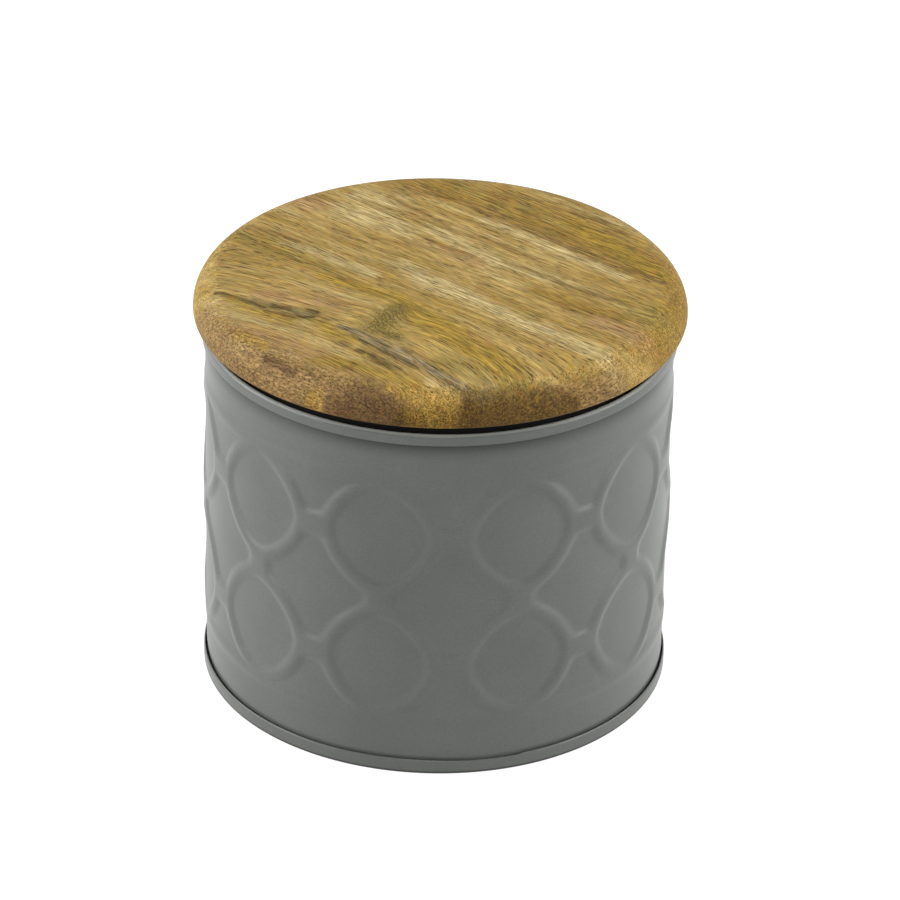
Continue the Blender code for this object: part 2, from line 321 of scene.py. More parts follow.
def swell(distance):
    """From 0 outside a ridge's slope to 1 inside it."""
    up = min(1, max(0, 0.5 - distance / FLANK_W))
    return up * (0.5 + up * (1.5 - up))


def pressed(s, z):
    sunk = min(1, max(0, (abs(z - TRELLIS_Z) - SINK_FROM) / SINK_OVER))
    ridge = swell(off_ridge(s, z)) * (1 - (1 - RAIL_SHARE) * sunk * sunk * (3 - 2 * sunk))
    return RELIEF * max(ridge, RAIL_SHARE * swell(off_rail(z)))


for spot, height in (("ring's middle", pressed(ring_columns[5], ring_rows[0])),
                     ("web", pressed(web_columns[4], ring_rows[0])),
                     ("rail", pressed(0, TRELLIS_Z + RAIL_RISE))):
    print("pressed", round(height, 3), "mm at a", spot)

# %% [markdown]
# The wall is one thin sheet, so only one side of it is drawn, the one inside the can. It goes up
# the wall, drawn in a little at the foot and under the mouth, turns over outwards at the top and
# comes down again, which makes the hem. The wall's faces look at the axis, so its thickness of
# 0.4 mm is added outwards. Rows of points are close together at the rails.

# %% Wall outline
WALL_STEPS = 192
HEM_FOOT = 95.55
LOW_RAIL, HIGH_RAIL = TRELLIS_Z - RAIL_RISE, TRELLIS_Z + RAIL_RISE
NEAR_RAIL = 2.8
FOOT_TOP, NECK_LOW = 8.8, 92.2
CREST_R, CREST_Z, CREST_HALF_W, CREST_HALF_H = 60.2, 97.85, 0.7, 0.84
bands = [                        # from, to, and the height of a row between them
    (FOOT_TOP, LOW_RAIL - NEAR_RAIL, 1.7),
    (LOW_RAIL - NEAR_RAIL, LOW_RAIL + NEAR_RAIL, 0.7),
    (LOW_RAIL + NEAR_RAIL, HIGH_RAIL - NEAR_RAIL, 1.75),
    (HIGH_RAIL - NEAR_RAIL, HIGH_RAIL + NEAR_RAIL, 0.7),
    (HIGH_RAIL + NEAR_RAIL, NECK_LOW, 1.4),
]
foot = [(59.4, 0.7), (59.4, 2.2), (59.4, 3.6), (59.43, 4.2), (59.5, 4.8), (59.56, 5.3)]
foot += [(INNER_R, 5.9), (INNER_R, 7.2)]
upright = [(INNER_R, z) for band in bands for z in rise(*band)]
neck = [(59.58, NECK_LOW), (59.54, 93.1), (59.47, 93.9), (59.4, 94.5), (59.34, 95.0)]
neck += [(59.32, 95.6), (59.36, 96.6), (59.5, 97.2), (INNER_R, 97.8)]
fold = [(59.62, 98.15), (59.7, 98.45), (59.83, 98.61), (60.0, 98.68)]
for turn in (math.pi * i / 18 for i in range(10)):
    fold.append((CREST_R + CREST_HALF_W * math.sin(turn), CREST_Z + CREST_HALF_H * math.cos(turn)))
hem = [(60.9, 97.4), (60.9, 97.0), (60.88, 96.3), (60.85, HEM_FOOT)]

wall_shape = spun(foot + upright + neck + fold + hem, WALL_STEPS)
side = min(wall_shape.faces, key=lambda face: abs(face.calc_center_median().z - TRELLIS_Z * MM))
if side.normal.dot(side.calc_center_median()) > 0:
    bmesh.ops.reverse_faces(wall_shape, faces=wall_shape.faces)
print("outline:", len(upright), "rows on the wall,", len(fold), "points over the fold")

# %% [markdown]
# Faces that lie on a ring's slope are subdivided before the points are pushed out, so that the
# pressing is smooth without a fine mesh where the sheet is plain. The sheet is also uneven by a
# twentieth of a millimetre, in waves of about 40 mm, as thin sheet is.

# %% Pressing the wall
PRESSED_LOW, PRESSED_HIGH = 6.5, 92.0
RINGS_LOW, RINGS_HIGH = 16.6, 83.2
MARGIN = 0.45                    # how far beyond a slope faces are still subdivided
WAVE, WAVES_PER_METRE = 0.05, 25
slopes = []
for face in wall_shape.faces:
    middle = face.calc_center_median()
    s, z = along(middle), middle.z / MM
    if RINGS_LOW < z < RINGS_HIGH and abs(off_ridge(s, z)) < FLANK_W / 2 + MARGIN:
        slopes.append(face)
edges = list({edge for face in slopes for edge in face.edges})
bmesh.ops.subdivide_edges(wall_shape, edges=edges, cuts=2, use_grid_fill=True)
for vert in wall_shape.verts:
    z = vert.co.z / MM
    if PRESSED_LOW < z < PRESSED_HIGH:
        out = pressed(along(vert.co), z) + WAVE * noise.noise(vert.co * WAVES_PER_METRE)
        vert.co.xy += vert.co.xy.normalized() * out * MM
print("wall:", len(slopes), "sloping faces,", len(wall_shape.verts), "points")

# %% [markdown]
# The finish is a satin stoved paint over steel: non-metal, a mid grey with a trace of warmth. It
# has the faint orange peel that sprayed paint dries with, a bump of about 1.5 mm spacing, and fine
# specks of half a millimetre that are a tenth darker or lighter. Its gloss wanders a little, in
# clouds of 25 mm.

# %% Satin grey paint
CLOUDS, SPECKS, PEEL = 40, 2200, 700     # patterns per metre
SATIN, SATIN_WANDERS, SHEEN = 0.345, 0.03, 0.42


def shaded(tree, colour, pattern, darkest, lightest):
    """The colour made darker and lighter by a noise pattern, as a multiple of itself."""
    shade = add(tree, "MapRange", {0: pattern, 1: 0.3, 2: 0.7, 3: darkest, 4: lightest})
    shade = add(tree, "CombineXYZ", {0: shade, 1: shade, 2: shade})
    return add(tree, "Mix", {FACTOR: 1.0, FROM: colour, TO: shade},
               data_type="RGBA", blend_type="MULTIPLY")


def satin_paint(name):
    material, tree, shader = new_material(name)
    place = add(tree, "TexCoord").outputs["Object"]
    cloud = add(tree, "TexNoise", {"Vector": place, "Scale": CLOUDS, "Detail": 4, "Roughness": 0.6})
    grey = add(tree, "ValToRGB", {0: cloud}, ramp=[(0.25, linear("545753")), (0.75, linear("5D605C"))])
    specks = add(tree, "TexNoise", {"Vector": place, "Scale": SPECKS, "Detail": 2})
    grey = shaded(tree, grey, specks, 0.9, 1.1)
    gloss = add(tree, "MapRange", {0: cloud, 3: SATIN - SATIN_WANDERS, 4: SATIN + SATIN_WANDERS})
    peel = add(tree, "TexNoise", {"Vector": place, "Scale": PEEL, "Detail": 1})
    bump = add(tree, "Bump", {"Height": peel, "Strength": 0.08, "Distance": 0.05 * MM})
    fill(tree, shader, {"Base Color": grey, "Roughness": gloss, "Normal": bump,
                        "Metallic": 0.0, "Specular IOR Level": SHEEN})
    return material, tree, shader


print("patterns of", [round(1000 / scale, 2) for scale in (CLOUDS, SPECKS, PEEL)], "mm")

# %% [markdown]
# Light and shade are painted into the paint's colour at the same height all round: a pale painted
# highlight on the hem's crest, painted shade in the corner under the hem, and painted shade on the
# pan's lowest bend where it meets the floor. Each is a colour that is mixed in between two heights,
# more and more towards the second. One that grows upwards ends there, and one that grows downwards
# goes on below it.

# %% Painted highlight and shade
JUST_OVER = 1e-5                 # metres


def tinted(tree, shader, srgb, strength, begins, full, power=1.0, beyond=0.0):
    """Mixes a colour into the paint between two heights, outside the radius beyond."""
    place = add(tree, "SeparateXYZ", {0: add(tree, "TexCoord").outputs["Object"]}).outputs
    amount = add(tree, "MapRange", {0: place["Z"], 1: begins * MM, 2: full * MM})
    amount = add(tree, "Math", {0: amount, 1: power}, operation="POWER")
    if full > begins:
        below = add(tree, "Math", {0: place["Z"], 1: full * MM + JUST_OVER}, operation="LESS_THAN")
        amount = add(tree, "Math", {0: amount, 1: below}, operation="MULTIPLY")
    radius = add(tree, "CombineXYZ", {0: place["X"], 1: place["Y"]})
    radius = add(tree, "VectorMath", {0: radius}, operation="LENGTH")
    outside = add(tree, "Math", {0: radius, 1: beyond * MM}, operation="GREATER_THAN")
    amount = add(tree, "Math", {0: amount, 1: outside}, operation="MULTIPLY")
    amount = add(tree, "Math", {0: amount, 1: strength}, operation="MULTIPLY")
    paint = shader.inputs["Base Color"].links[0].from_socket
    mixed = add(tree, "Mix", {FACTOR: amount, FROM: paint, TO: linear(srgb)}, data_type="RGBA")
    fill(tree, shader, {"Base Color": mixed})


HEM_PAINTED_SHADE, HEM_SHADE_FROM = "141413", 90.4
CREST_PAINTED_HIGHLIGHT, CREST_HIGHLIGHT_FROM, CREST_TOP = "B2B5B0", 98.2, 98.72
wall_paint, tree, shader = satin_paint("satin_stoved_paint_on_pressed_steel")
# painted shade: the wall outside is darkened in the corner under the hem
tinted(tree, shader, HEM_PAINTED_SHADE, 1.0, HEM_SHADE_FROM, HEM_FOOT + 0.15, power=1.6, beyond=INNER_R + 0.05)
# painted highlight: the hem's crest is paled where light catches it
tinted(tree, shader, CREST_PAINTED_HIGHLIGHT, 0.75, CREST_HIGHLIGHT_FROM, CREST_TOP)
wall = finish_piece("pressed_wall", wall_shape, wall_paint,
                    "canister", "body_shell")
thicken(wall, SHEET)

# %% [markdown]
# At the back the rolled sheet overlaps itself by 6 mm. The strip on top starts as a flat grid,
# and each point is then laid on the round wall over the same pressing. It is a hair thinner than
# the sheet, so that its underside doesn't lie in the wall's own surface.

# %% Lap at the back
LAP_W, LAP_LOW, LAP_HIGH = 6.0, 4.9, HEM_FOOT - 0.3
HAIR = 0.02
seam = math.pi * WALL_R
lap_shape = bmesh.new()
bmesh.ops.create_grid(lap_shape, x_segments=4, y_segments=54, size=0.5)
for vert in lap_shape.verts:
    turn = SEAM_TURN + (seam + vert.co.x * LAP_W) / WALL_R
    z = LAP_LOW + (vert.co.y + 0.5) * (LAP_HIGH - LAP_LOW)
    radius = (WALL_R + SHEET + pressed(seam, z)) * MM
    vert.co = (radius * math.sin(turn), -radius * math.cos(turn), z * MM)
bmesh.ops.recalc_face_normals(lap_shape, faces=lap_shape.faces)
if sum(face.normal.y for face in lap_shape.faces) < 0:
    bmesh.ops.reverse_faces(lap_shape, faces=lap_shape.faces)
lap = finish_piece("lap_strip", lap_shape, wall_paint, "canister", None)
thicken(lap, SHEET - HAIR)

# %% [markdown]
# The base is a shallow pan: a raised floor panel, a channel that the wall stands in, and a band
# crimped against the wall outside. The band's edge is a little wavy, and right of the front it
# steps down by 0.3 mm for a finger's breadth, as crimping leaves it.

# %% Base pan
PAN_STEPS, PAN_SHEET = 288, 0.38
BAND_R, BAND_H, BEND = 60.75, 4.05, 0.6
NICK, NICK_LEFT, NICK_RIGHT, NICK_FADES = 0.3, 10, 23.5, 12
EDGE_WAVE, EDGE_WAVES_PER_METRE = 0.12, 45
BAND_LOW = 1.5                   # below this height the band keeps its shape
BEND_PAINTED_SHADE, BEND_SHADE_FROM = "121212", 1.0


def nick(s):
    """How much lower the band's edge is, s along it from the front."""
    if s < NICK_LEFT:
        return NICK * max(0, 1 - abs(s - NICK_LEFT) / NICK_FADES)
    return NICK if NICK_LEFT < s < NICK_RIGHT else 0


band = [(60.42, BAND_H), (60.58, BAND_H - 0.08), (60.7, BAND_H - 0.3), (BAND_R, BAND_H - 0.8)]
band += [(BAND_R, 3.0), (BAND_R, 2.0)] + arc((BAND_R - BEND, BEND), BEND, 0, -90, 8)
channel = arc((59.35, 0.45), 0.45, -90, -180, 6) + [(58.9, 1.6)] + arc((58.45, 2.75), 0.45, 0, 90, 6)
panel = [(r, 3.2) for r in (56, 50, 44, 38, 30, 20, 10, 0)]
pan_shape = spun(band + channel + panel, PAN_STEPS)
for vert in pan_shape.verts:
    radius, z = math.hypot(vert.co.x, vert.co.y) / MM, vert.co.z / MM
    if radius > WALL_R - 1 and z > BAND_LOW:
        s = math.atan2(vert.co.x, -vert.co.y) * BAND_R
        flat_place = Vector((vert.co.x, vert.co.y, 0))
        shift = EDGE_WAVE * noise.noise(flat_place * EDGE_WAVES_PER_METRE) - nick(s)
        vert.co.z += shift * (z - BAND_LOW) / (BAND_H - BAND_LOW) * MM
pan_paint, tree, shader = satin_paint("satin_stoved_paint_on_steel_pan")
# painted shade: the pan's lowest bend is darkened where it meets the floor
tinted(tree, shader, BEND_PAINTED_SHADE, 0.92, BEND_SHADE_FROM, BEND)
pan = finish_piece("crimped_base", pan_shape, pan_paint, "canister", "base_pan")
thicken(pan, PAN_SHEET)

# %% [markdown]
# The lid board is turned on a lathe: flat on top, a full round above and a small one below. The
# rings on top are close together, because the figure of the wood is written onto the points.

# %% Lid board
BOARD_R, BOARD_LOW, BOARD_TOP = 63.1, 101.2, 110.7
TOP_ROUND, LOW_ROUND = 7.4, 2.0
FLAT_R = BOARD_R - TOP_ROUND
RING_STEP, TURNED_STEPS = 0.8, 360
outline = [(0, BOARD_TOP)] + [(r, BOARD_TOP) for r in rise(RING_STEP, FLAT_R, RING_STEP)]
outline += arc((FLAT_R, BOARD_TOP - TOP_ROUND), TOP_ROUND, 90, 0, 20)
outline += arc((BOARD_R - LOW_ROUND, BOARD_LOW + LOW_ROUND), LOW_ROUND, 0, -90, 10)
outline += [(r, BOARD_LOW) for r in (57, 50, 43, 36, 29, 22, 15, 8, 0)]
board_shape = spun(outline, TURNED_STEPS)
print("board:", len(board_shape.verts), "points")

# %% [markdown]
# Under the board sits a smaller plug that fits the mouth. Its lower edge is rounded, and it has a
# groove for the seal.

# %% Plug
PLUG_R, PLUG_TOP, PLUG_LOW, PLUG_ROUND = 57.6, 100.9, 91.9, 2
GROOVE_R, GROOVE_TOP, GROOVE_LOW = 55.1, 98.0, 95.0
BROKEN = 0.2                     # the groove's sharp edges are broken by this
outline = [(r, PLUG_TOP) for r in (0, 15, 30, 45)]
outline += [(PLUG_R, PLUG_TOP), (PLUG_R, GROOVE_TOP + BROKEN), (PLUG_R - BROKEN, GROOVE_TOP)]
outline += [(GROOVE_R, GROOVE_TOP), (GROOVE_R, GROOVE_LOW)]
outline += [(PLUG_R - BROKEN, GROOVE_LOW), (PLUG_R, GROOVE_LOW - BROKEN)]
outline += arc((PLUG_R - PLUG_ROUND, PLUG_LOW + PLUG_ROUND), PLUG_ROUND, 0, -90, 8)
outline += [(r, PLUG_LOW) for r in rise(RING_STEP, PLUG_R - PLUG_ROUND, RING_STEP)[::-1]]
plug_shape = spun(outline + [(0, PLUG_LOW)], TURNED_STEPS)
print("plug:", len(plug_shape.verts), "points")

# %% [markdown]
# The seal is a black rubber ring: a body in the groove, a collar round the plug, which shows as
# the black line under the board, and two thin fins that wipe the wall. Its outline is closed, so
# spinning it makes a solid ring.

# %% Seal
SEAL_STEPS = 240
HIGH_FIN, LOW_FIN = 97.3, 95.6
body = [(55.3, 95.3), (55.3, 97.7)]
collar = [(57.66, 97.85), (57.66, 100.95), (58.0, 100.95), (58.05, 98.0)]
fin = [(58.3, 0.42), (59.0, 0.5), (59.13, 0.42), (59.18, 0.25), (59.1, 0.1), (58.6, 0.0), (57.4, -0.25)]
outline = body + collar + [(r, HIGH_FIN + z) for r, z in fin]
outline += [(57.7, 96.5)] + [(r, LOW_FIN + z) for r, z in fin]
seal_shape = spun(outline, SEAL_STEPS, closed=True)
print("seal:", len(seal_shape.verts), "points")

# %% [markdown]
# Mango wood has a straw ground with olive, golden and pinkish clouds, and fungus leaves dark lines
# in it, called spalting, some with a grey core. Each such mark is a brush stroke here: points in
# millimetres on the board, seen from above, with the stroke's half width. A point's strength is 1
# on the line, 0 at the width, and below zero outside, and the material breaks that edge up.

# %% Strokes of the figure
FIGURE = {
    "cream": [
        [(10, 33.5, 1.6), (17.5, 28.6, 2.4), (23, 24, 2.4), (31.5, 15.6, 2.2), (39, 9, 1.8),
         (47, 2, 1.4)],
        [(-4, 29, 1.4), (0, 25, 2), (7.5, 16.5, 2.4), (16.5, 8.2, 2.2), (22, 4.5, 1.8),
         (30, -1, 1.2)],
        [(-26, 38, 4), (-17, 33, 5), (-9, 26, 3)],
        [(-22, 47, 2.4), (-12, 43, 3)],
        [(-10, 8, 2), (-3, -2, 3.4), (3, -6, 3.4), (9, -11, 2)],
        [(10, -12, 1.6), (16, -19, 2.2), (27, -28, 3), (36, -36, 2.6), (44, -44, 2)],
        [(-40, 18, 1.4), (-30, 12, 2), (-18, 2, 2)],
        [(-2, -56, 2), (3, -60, 1.6)],
    ],
    "rose": [
        [(-38, 44, 4), (-33, 40, 3)],
        [(-44, -11, 3), (-33, -13, 3), (-27, -15, 3)],
        [(1, 17, 1.6), (5, 13, 2.4), (9, 9, 2)],
        [(8, -30, 2), (12, -34, 2)],
        [(40, -22, 3), (50, -30, 3)],
        [(-49, -29, 2), (-41, -34.4, 2.4), (-37, -37, 2.4), (-34.5, -40, 2.2), (-30, -41.6, 2)],
    ],
    "tawny": [
        [(2, 54, 4), (14, 46, 7), (27, 35, 8), (41, 23, 8), (54, 9, 7), (61, -2, 5), (60, -18, 5),
         (54, -30, 4)],
        [(24, -6, 2), (34, -14, 3), (44, -20, 3)],
        [(-12, 56, 3), (-4, 51, 4), (4, 45, 2)],
    ],
    "olive": [
        [(5, 52.5, 2), (9, 48, 2)],
        [(12.5, 42.5, 1.6), (17, 37, 1.6)],
        [(21, 42, 1.6), (23.5, 40, 1.4)],
        [(27.5, 35.5, 1.4), (31, 32, 1.6), (36, 29, 1.2)],
        [(40, 21, 1.2), (48, 16.5, 1.4)],
        [(45.5, 13, 1), (48.5, 10, 1.2)],
        [(-54, 24, 2), (-47, 19, 2.6), (-41, 14, 2.6), (-33, 8, 2.4), (-27, 3, 1.6)],
        [(-44, -20.4, 1), (-39, -22, 1.2), (-32, -23.4, 1)],
        [(2, -44, 3), (10, -51, 4), (22, -56, 4)],
        [(20, -17, 1.6), (24, -21, 1.6)],
        [(46, -10, 3), (56, -20, 4)],
    ],
    "gold": [
        [(-12, -9, 2), (-8, -15, 4), (-4, -22, 6), (2, -30, 6), (9, -38, 5), (18, -47, 4)],
        [(-53, -13.5, 1.6), (-46, -19, 2), (-38, -24, 2)],
        [(34, 33, 2), (42, 22, 3), (50, 11, 3), (57, 3, 2)],
        [(-30, -25, 2), (-26, -31, 2.4), (-21, -34, 1.6)],
        [(-30, -46, 2), (-20, -47, 2.6), (-12, -53, 2.4), (-6, -57, 2)],
        [(-30, 0, 1.6), (-20, -6, 2.4), (-14, -10, 2)],
    ],
    "umber": [
        [(5, 46, 0.9), (9.8, 38.6, 1.2), (12, 36, 0.9)],
        [(12, 41.4, 1.2), (16.8, 33.8, 1.8), (20.5, 29.8, 1.6), (25.8, 25.6, 1.8), (30, 22.6, 1.2),
         (36, 17.4, 1)],
        [(28, 22.5, 0.8), (36, 14.8, 1), (40, 11.6, 0.8)],
        [(37, 16.4, 1.1), (43.3, 11.2, 1.7), (46.3, 8, 1.9), (48.6, 5.4, 1.5), (53, 2.6, 1.3),
         (58, -1, 1)],
        [(34, 39.5, 0.9), (42.5, 32, 1), (48, 26, 0.8)],
        [(-14, 46, 0.8), (-6.5, 38, 1.1), (-2, 33.5, 0.9), (2, 30, 0.8)],
        [(-9, 53, 1.8), (-3, 49, 1.6), (2, 45, 1)],
        [(10, 23.6, 0.8), (16.3, 18.6, 0.9), (20, 14.4, 0.9), (24, 11.6, 0.8)],
        [(-4, 22, 0.8), (0, 19, 0.9), (3.8, 15.3, 1), (8, 12, 0.8)],
        [(16, 10, 0.8), (22, 5.7, 0.9), (26.8, 2.2, 0.9), (31, -1.2, 0.8)],
        [(29, -0.4, 0.8), (36, -5.4, 1), (43, -10.4, 0.8)],
        [(6.5, -45.5, 1), (8.5, -47.5, 1.3)],
        [(-47, 26, 0.8), (-42, 22.6, 0.9), (-37, 19, 0.8)],
        [(-29, 26.6, 0.8), (-24.5, 23.4, 0.9), (-20, 19.6, 0.8)],
        [(-23.2, -48.4, 0.8), (-19.8, -50.6, 0.9), (-17.8, -52.7, 0.9), (-16.5, -54.6, 0.8)],
    ],
    "knot": [
        [(-10.5, -16.5, 2.4), (-13, -21, 3.6), (-15.5, -27, 3.6)],
        [(-14, -30, 2), (-11, -31.5, 2)],
    ],
    "spalt": [
        [(-47.2, -13.9, 1), (-44.4, -15.9, 1.5), (-41.5, -17.6, 1.9), (-38.2, -18.9, 1.8),
         (-34.8, -20.1, 1.9),
         (-32, -20.8, 1.8)],
        [(-24.8, -35.8, 1.1), (-23.2, -37, 1.2)],
        [(-19.8, -39.4, 1), (-17.3, -41, 1.3), (-14.8, -44.2, 1.7), (-12.8, -46.3, 1.6),
         (-10.4, -48.4, 1.3)],
        [(-25, -26.4, 0.9), (-21, -30.2, 1.6), (-17.4, -33.8, 2), (-14, -36.8, 2.2),
         (-11, -39.8, 2.1),
         (-8, -43, 2.1), (-4.6, -46.4, 2.1), (-1.6, -49.6, 1.9), (1.4, -53.6, 1.9),
         (5, -57.3, 1.8), (11, -59, 1.4)],
    ],
    "vein": [
        [(-56.6, -10, 0.9), (-53.6, -11.4, 0.9), (-50.6, -13.2, 0.9), (-48.2, -15, 0.9),
         (-44.6, -17.6, 1.1)],
        [(-42, -17, 0.9), (-38, -17.8, 0.9)],
        [(-33, -18.6, 0.8), (-31, -19.6, 0.9)],
        [(-43.6, -19.8, 0.8), (-39, -21.4, 0.8), (-34, -22.5, 0.8), (-32, -22.4, 0.8)],
        [(-8.9, -38.2, 1), (-7.4, -39.8, 1)],
        [(-3.4, -46, 0.9), (-0.4, -49.8, 1.1)],
        [(-21.6, -31, 0.8), (-18, -36, 0.9), (-14, -39.6, 0.9), (-9.4, -44.4, 0.9),
         (-5.6, -48, 0.9)],
        [(-20.4, -39.6, 0.8), (-17, -41.8, 0.9), (-15.6, -44.6, 0.9), (-12.6, -47.6, 0.9)],
    ],
    "ash": [
        [(-24.6, -27, 0.8), (-20.7, -30.2, 1.2), (-17.3, -33.4, 1.5), (-14, -36.2, 1.6),
         (-11, -39.4, 1.5),
         (-8.2, -42.6, 1.5), (-4.8, -45.8, 1.3), (-1.9, -49, 1), (1.8, -53.4, 1.2),
         (5.4, -57, 1.2)],
        [(-36, -19.8, 0.8), (-33.6, -20.6, 0.9)],
        [(25.5, -26, 0.8), (28, -28, 0.8)],
    ],
    "end_grain": [
        [(-61, -16, 3), (-57, -27, 5), (-49, -39, 6), (-38, -49, 6), (-27, -56, 5),
         (-12, -62, 4.4)],
        [(8, -63, 3.4), (22, -60, 3.4), (36, -53, 3), (46, -44, 2)],
    ],
    "plum": [
        [(-36, -60.5, 2), (-27, -59.6, 2.6), (-21, -58.8, 3), (-16, -60.2, 3), (-10, -62.4, 2.2),
         (-3, -63.6, 1.7),
         (6, -64, 1.6)],
        [(6.6, -59, 1.1), (7.8, -62.6, 1.7)],
        [(-43, -42.2, 0.8), (-36, -48.4, 0.9)],
    ],
    "burnt": [
        [(-10, -63, 1), (0, -63.4, 1.2), (8, -62, 2.8), (13, -61, 3.4), (20, -59.4, 3),
         (28, -56.4, 2), (34, -53, 0.9)],
    ],
    "straw": [
        [(-12, -57.2, 1.2), (-6, -59, 2.6), (-1, -60.2, 2.8), (3.4, -60.4, 2)],
        [(-32, -54.6, 1.2), (-30, -55.8, 1.4)],
        [(-50, -30.6, 1.6), (-43, -38, 1.4)],
    ],
}
print("marks:", len(FIGURE), "strokes:", sum(len(strokes) for strokes in FIGURE.values()))

# %% [markdown]
# The strength is measured for every point of the board at once: the distance to each piece of a
# stroke, against the half width there. It is stored on the mesh as an attribute, which the
# material reads and which moves with the piece.

# %% Strokes on points
FAR_OFF = -4.0                   # strength of a point that is near no stroke


def stroke_strength(x, y, strokes):
    best = np.full(x.shape, FAR_OFF)
    for stroke in strokes:
        for (ax, ay, aw), (bx, by, bw) in zip(stroke, stroke[1:]):
            run = (bx - ax) ** 2 + (by - ay) ** 2
            part = np.clip(((x - ax) * (bx - ax) + (y - ay) * (by - ay)) / run, 0, 1)
            away = np.hypot(x - ax - part * (bx - ax), y - ay - part * (by - ay))
            best = np.maximum(best, 1 - away / (aw + part * (bw - aw)))
    return best


def store(mesh, name, kind, values):
    layer = mesh.attributes.new(name, kind, "POINT")
    field = "vector" if kind == "FLOAT_VECTOR" else "value"
    layer.data.foreach_set(field, np.ravel(values).astype(np.float32))


def places(mesh):
    """Millimetres x, y and z of a mesh's points, as three rows."""
    flat_list = np.empty(len(mesh.vertices) * 3)
    mesh.vertices.foreach_get("co", flat_list)
    return flat_list.reshape(-1, 3).T / MM


middle = np.array([0.0])
print("gold in the board's middle:", stroke_strength(middle, middle, FIGURE["gold"]).round(2))

# %% [markdown]
# The grain runs from the back left to the front right, 36 degrees off the x axis, and sweeps round
# below the middle. It also bends round the knot. So each point gets its place in the grain: u
# along it, v across and w deep, in millimetres. Every streak and pore is drawn in that space, and
# follows the bend. Grain that dips into the board slightly runs out of its top in short lengths.

# %% Grain space
GRAIN_TURN = math.radians(-36)
SLANT, DIP = 0.06, 0.012                         # drift across and down, for each mm along
SWEEP, SWEEP_FROM, SWEEP_OVER = 0.0042, -10, 25  # the curve, and where across it begins and is full
KNOT_X, KNOT_Y, KNOT_U = -13, -22, 2.4
KNOT_SPREAD, KNOT_PULL = 60, 0.6                 # square of the knot's reach, and how far it bends


def grain_space(x, y, z, bent):
    u = x * math.cos(GRAIN_TURN) + y * math.sin(GRAIN_TURN)
    v = y * math.cos(GRAIN_TURN) - x * math.sin(GRAIN_TURN)
    low_side = bent * np.clip((SWEEP_FROM - v) / SWEEP_OVER, 0, 1)
    knot_near = bent * np.exp(-((x - KNOT_X) ** 2 + (y - KNOT_Y) ** 2) / KNOT_SPREAD)
    v = v + bent * SLANT * u + SWEEP * u * u * low_side
    v = v + KNOT_PULL * knot_near * (u - KNOT_U)
    w = z - DIP * u
    return np.stack([u, v, w], axis=1)


corner = grain_space(np.array([50.0]), np.array([0.0]), np.array([0.0]), bent=1)[0]
print("the board's right is at", corner.round(1), "in the grain")

# %% [markdown]
# Two kinds of pattern are drawn in the grain's space. Streaks are noise that is much longer than
# wide. Dashes are cells with a dark core, for the pores. Both take their length and width in
# millimetres.

# %% Patterns along the grain


def in_grain(tree, length, width):
    grain = add(tree, "Attribute", attribute_name="grain").outputs["Vector"]
    size = (1 / length, 1 / width, 1 / width)
    return add(tree, "VectorMath", {0: grain, 1: size}, operation="MULTIPLY")


def streaks(tree, length, width, detail=2):
    place = in_grain(tree, length, width)
    return add(tree, "TexNoise", {"Vector": place, "Scale": 1, "Detail": detail, "Roughness": 0.6})


def dashes(tree, length, width, reach):
    cells = add(tree, "TexVoronoi", {"Vector": in_grain(tree, length, width), "Scale": 1})
    return add(tree, "MapRange", {0: cells, 1: reach, 2: reach * 0.55, 4: 1.0})


# %% [markdown]
# A mark has a dark and a light colour that follow the fibres, so it looks like stained wood and
# not like paint over it. Its edge is moved to and fro by a mix of veins, fibres and small blots,
# so that it frays along the grain.

# %% Marks of the wood
MARKS = [                        # attribute, dark and light colour, how ragged, how soft, how strong
    ("tawny", "7A5E20", "A08036", 2.8, 2.2, 0.85),
    ("cream", "BEA66E", "D6C490", 3.0, 2.0, 0.75),
    ("rose", "A07A50", "BC966C", 3.0, 1.8, 0.65),
    ("olive", "84722F", "A49050", 3.2, 2.0, 0.75),
    ("gold", "8C7224", "B09036", 3.0, 2.4, 0.85),
    ("umber", "5A421E", "9A7D44", 3.8, 2.2, 0.8),
    ("end_grain", "745A40", "9C7E5C", 2.6, 2.2, 0.75),
    ("plum", "3C281A", "6E503A", 5.2, 2.4, 0.8),
    ("burnt", "34240A", "745620", 4.8, 2.2, 0.85),
    ("straw", "9A7836", "C09E54", 3.2, 1.6, 0.85),
    ("knot", "4A3F1A", "92823C", 3.0, 2.0, 0.85),
    ("spalt", "4A3E22", "8E7C50", 4.4, 1.6, 0.85),
    ("vein", "32270F", "6E5A2C", 4.0, 1.0, 0.85),
    ("ash", "74664C", "B0A282", 5.0, 2.2, 0.62),
]


def frayed(tree, veins, fibres):
    """A wavering around zero, longest along the grain."""
    blots = add(tree, "Math", {0: streaks(tree, 2.6, 1.3, 3), 1: 0.35}, operation="MULTIPLY")
    ragged = add(tree, "Math", {0: fibres, 1: 0.35, 2: blots}, operation="MULTIPLY_ADD")
    ragged = add(tree, "Math", {0: veins, 1: 0.3, 2: ragged}, operation="MULTIPLY_ADD")
    return add(tree, "Math", {0: ragged, 1: 0.5}, operation="SUBTRACT")


def stained(tree, colour, marks, ragged, dark_or_light):
    for mark, dark, light, break_up, softness, strength in marks:
        edge = add(tree, "Attribute", attribute_name=mark).outputs["Fac"]
        edge = add(tree, "Math", {0: ragged, 1: break_up, 2: edge}, operation="MULTIPLY_ADD")
        amount = add(tree, "MapRange", {0: edge, 1: -softness / 2, 2: softness / 2, 4: strength},
                     interpolation_type="SMOOTHSTEP")
        stain = add(tree, "Mix", {FACTOR: dark_or_light, FROM: linear(dark), TO: linear(light)},
                    data_type="RGBA")
        colour = add(tree, "Mix", {FACTOR: amount, FROM: colour, TO: stain}, data_type="RGBA")
    return colour


